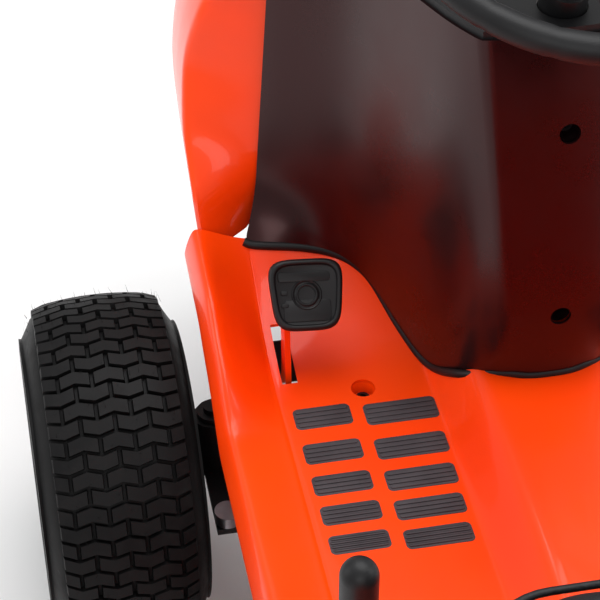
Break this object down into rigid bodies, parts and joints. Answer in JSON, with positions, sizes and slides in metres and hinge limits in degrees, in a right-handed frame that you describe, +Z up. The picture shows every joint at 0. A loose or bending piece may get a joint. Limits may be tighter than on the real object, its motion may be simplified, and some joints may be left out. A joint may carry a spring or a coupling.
{
  "type": "riding lawn mower",
  "caption": "Front-engine riding lawn mower: orange body panels, black dash cowl, steered front wheels, sprung pedals, sliding seat and a mid-mounted lifting deck.",
  "frame": {"origin": "on the ground, midway along the length and on the centre line", "axes": "+Y the driving direction, +X the operator's right, +Z up"},
  "size_m": [1.012, 1.8979, 1.0227],
  "materials": {
    "body_paint": "glossy orange-red moulded body panel",
    "deck_paint": "orange-red powder coat on pressed steel",
    "cowl_plastic": "smooth satin black moulded plastic",
    "black_plastic": "fine-grained black moulded plastic",
    "pad_rubber": "ribbed dark grey rubber",
    "tyre_rubber": "black turf tyre rubber",
    "frame_paint": "black powder coat",
    "rim_paint": "glossy black paint",
    "bright_steel": "zinc-plated steel",
    "blade_steel": "dark hardened steel",
    "engine_cast": "cast aluminium",
    "muffler_steel": "heat-stained steel",
    "tank_plastic": "translucent white plastic",
    "switch_yellow": "yellow moulded plastic",
    "seat_vinyl": "black vinyl with sewn channels",
    "belt_rubber": "fabric-backed belt rubber",
    "clear_lens": "clear lens",
    "red_lens": "red lens"
  },
  "bodies": {
    "root": {"frame_rails": "frame_paint", "front_bumper": "frame_paint", "pedal_shafts": "bright_steel", "engine_block": "engine_cast", "muffler": "muffler_steel", "air_cleaner": "black_plastic", "side_panels": "black_plastic", "battery": "black_plastic", "fuel_tank": "tank_plastic", "transaxle": "engine_cast", "hitch_plate": "frame_paint", "footrest_panel": "body_paint", "foot_pads_left": "pad_rubber", "foot_pads_right": "pad_rubber", "panel_screws": "bright_steel", "rear_fender": "body_paint", "dash_cowl": "cowl_plastic", "dash_panel": "cowl_plastic", "steering_column": "black_plastic", "seat_rails": "frame_paint", "taillight_lenses": "red_lens"},
    "hood": {"hood_shell": "body_paint", "front_grille": "black_plastic", "headlight_lenses": "clear_lens"},
    "steering": {"steering_wheel": "black_plastic", "steering_shaft": "bright_steel"},
    "front_axle": {"front_axle": "frame_paint"},
    "knuckle_left": {"spindle_left": "bright_steel"},
    "knuckle_right": {"spindle_right": "bright_steel"},
    "tie_rod": {"tie_rod": "bright_steel"},
    "wheel_front_left": {"tyre_front_left": "tyre_rubber", "rim_front_left": "rim_paint"},
    "wheel_front_right": {"tyre_front_right": "tyre_rubber", "rim_front_right": "rim_paint"},
    "wheel_rear_left": {"tyre_rear_left": "tyre_rubber", "rim_rear_left": "rim_paint"},
    "wheel_rear_right": {"tyre_rear_right": "tyre_rubber", "rim_rear_right": "rim_paint"},
    "brake_pedal": {"brake_arm": "body_paint", "brake_pad": "pad_rubber"},
    "drive_pedal": {"drive_pedal": "frame_paint", "drive_pad": "pad_rubber"},
    "lift_lever": {"lift_lever": "black_plastic"},
    "parking_lever": {"parking_lever": "black_plastic"},
    "seat_slide": {"seat_base": "frame_paint"},
    "seat": {"seat_pan": "black_plastic", "seat_cushion": "seat_vinyl", "seat_back": "seat_vinyl"},
    "deck": {"deck_shell": "deck_paint", "spindle_housings": "frame_paint", "deck_belt": "belt_rubber"},
    "blade_left": {"blade_left": "blade_steel"},
    "blade_right": {"blade_right": "blade_steel"},
    "chute": {"chute_deflector": "black_plastic"},
    "deck_rollers": {"deck_rollers": "black_plastic"},
    "ignition_key": {"ignition_key": "bright_steel"},
    "throttle_lever": {"throttle_lever": "black_plastic"},
    "blade_switch": {"blade_switch": "switch_yellow"},
    "fuel_cap": {"fuel_cap": "black_plastic"},
    "crankshaft": {"engine_pulley": "blade_steel"}
  },
  "joints": [
    {"name": "hood_hinge", "type": "hinge", "parent": "root", "child": "hood", "pos_m": [0, 0.888, 0.385], "axis": [-1, 0, 0], "range_deg": [0, 75]},
    {"name": "steering_turn", "type": "hinge", "parent": "root", "child": "steering", "pos_m": [0, 0.33, 0.93], "axis": [0, -0.342, 0.9397], "range_deg": [-270, 270]},
    {"name": "axle_pivot", "type": "hinge", "parent": "root", "child": "front_axle", "pos_m": [0, 0.49, 0.226], "axis": [0, 1, 0], "range_deg": [-1.3, 1.3]},
    {"name": "knuckle_left_turn", "type": "hinge", "parent": "front_axle", "child": "knuckle_left", "pos_m": [-0.31, 0.49, 0.226], "axis": [0, 0, 1], "range_deg": [-25.1, 25.1]},
    {"name": "knuckle_right_turn", "type": "hinge", "parent": "front_axle", "child": "knuckle_right", "pos_m": [0.31, 0.49, 0.226], "axis": [0, 0, 1], "range_deg": [-25.1, 25.1]},
    {"name": "tie_rod_travel", "type": "slide", "parent": "front_axle", "child": "tie_rod", "axis": [1, 0, 0], "range_m": [-0.0394, 0.0394]},
    {"name": "wheel_front_left_spin", "type": "hinge", "parent": "knuckle_left", "child": "wheel_front_left", "pos_m": [-0.421, 0.49, 0.1905], "axis": [1, 0, 0], "continuous": true},
    {"name": "wheel_front_right_spin", "type": "hinge", "parent": "knuckle_right", "child": "wheel_front_right", "pos_m": [0.421, 0.49, 0.1905], "axis": [1, 0, 0], "continuous": true},
    {"name": "wheel_rear_left_spin", "type": "hinge", "parent": "root", "child": "wheel_rear_left", "pos_m": [-0.375, -0.69, 0.254], "axis": [1, 0, 0], "continuous": true},
    {"name": "wheel_rear_right_spin", "type": "hinge", "parent": "root", "child": "wheel_rear_right", "pos_m": [0.375, -0.69, 0.254], "axis": [1, 0, 0], "continuous": true},
    {"name": "brake_pedal_press", "type": "hinge", "parent": "root", "child": "brake_pedal", "pos_m": [-0.242, 0.418, 0.3], "axis": [-1, 0, 0], "range_deg": [0, 16], "stiffness_Nm_per_rad": 12, "springref_deg": -8.59},
    {"name": "drive_pedal_press", "type": "hinge", "parent": "root", "child": "drive_pedal", "pos_m": [0.242, 0.418, 0.3], "axis": [-1, 0, 0], "range_deg": [0, 16], "stiffness_Nm_per_rad": 12, "springref_deg": -8.59},
    {"name": "lift_lever_pull", "type": "hinge", "parent": "root", "child": "lift_lever", "pos_m": [0.3, -0.164, 0.308], "axis": [1, 0, 0], "range_deg": [0, 20]},
    {"name": "deck_lift", "type": "slide", "parent": "root", "child": "deck", "axis": [0, 0, 1], "range_m": [0, 0.0701]},
    {"name": "parking_lever_pull", "type": "hinge", "parent": "root", "child": "parking_lever", "pos_m": [-0.3, -0.164, 0.308], "axis": [1, 0, 0], "range_deg": [0, 15]},
    {"name": "seat_slide_travel", "type": "slide", "parent": "root", "child": "seat_slide", "axis": [0, 1, 0], "range_m": [-0.05, 0.05]},
    {"name": "seat_tilt", "type": "hinge", "parent": "seat_slide", "child": "seat", "pos_m": [0, -0.191, 0.604], "axis": [-1, 0, 0], "range_deg": [0, 60]},
    {"name": "blade_left_spin", "type": "hinge", "parent": "deck", "child": "blade_left", "pos_m": [-0.21, -0.05, 0.165], "axis": [0, 0, 1], "continuous": true},
    {"name": "blade_right_spin", "type": "hinge", "parent": "deck", "child": "blade_right", "pos_m": [0.21, -0.05, 0.165], "axis": [0, 0, 1], "continuous": true},
    {"name": "chute_fold", "type": "hinge", "parent": "deck", "child": "chute", "pos_m": [0.4354, 0.03, 0.163], "axis": [0, -1, 0], "range_deg": [0, 100]},
    {"name": "deck_roller_spin", "type": "hinge", "parent": "deck", "child": "deck_rollers", "pos_m": [0, 0.217, 0.135], "axis": [1, 0, 0], "continuous": true},
    {"name": "ignition_turn", "type": "hinge", "parent": "root", "child": "ignition_key", "pos_m": [0.1, 0.484, 0.785], "axis": [0, 0, -1], "range_deg": [0, 60]},
    {"name": "throttle_travel", "type": "hinge", "parent": "root", "child": "throttle_lever", "pos_m": [-0.1, 0.494, 0.763], "axis": [1, 0, 0], "range_deg": [-20, 20]},
    {"name": "blade_switch_pull", "type": "slide", "parent": "root", "child": "blade_switch", "axis": [0, 0, 1], "range_m": [0, 0.01]},
    {"name": "fuel_cap_turn", "type": "hinge", "parent": "root", "child": "fuel_cap", "pos_m": [-0.085, -0.82, 0.57], "axis": [0, 0, 1], "continuous": true},
    {"name": "crankshaft_spin", "type": "hinge", "parent": "root", "child": "crankshaft", "pos_m": [0, 0.695, 0.2], "axis": [0, 0, 1], "continuous": true}
  ],
  "couplings": [
    {"joint": "knuckle_left_turn", "follows": "steering_turn", "ratio": 0.092593},
    {"joint": "knuckle_right_turn", "follows": "steering_turn", "ratio": 0.092593},
    {"joint": "tie_rod_travel", "follows": "steering_turn", "m_per_rad": 0.0083397},
    {"joint": "deck_lift", "follows": "lift_lever_pull", "m_per_rad": 0.20053},
    {"joint": "blade_right_spin", "follows": "blade_left_spin", "ratio": 1}
  ]
}
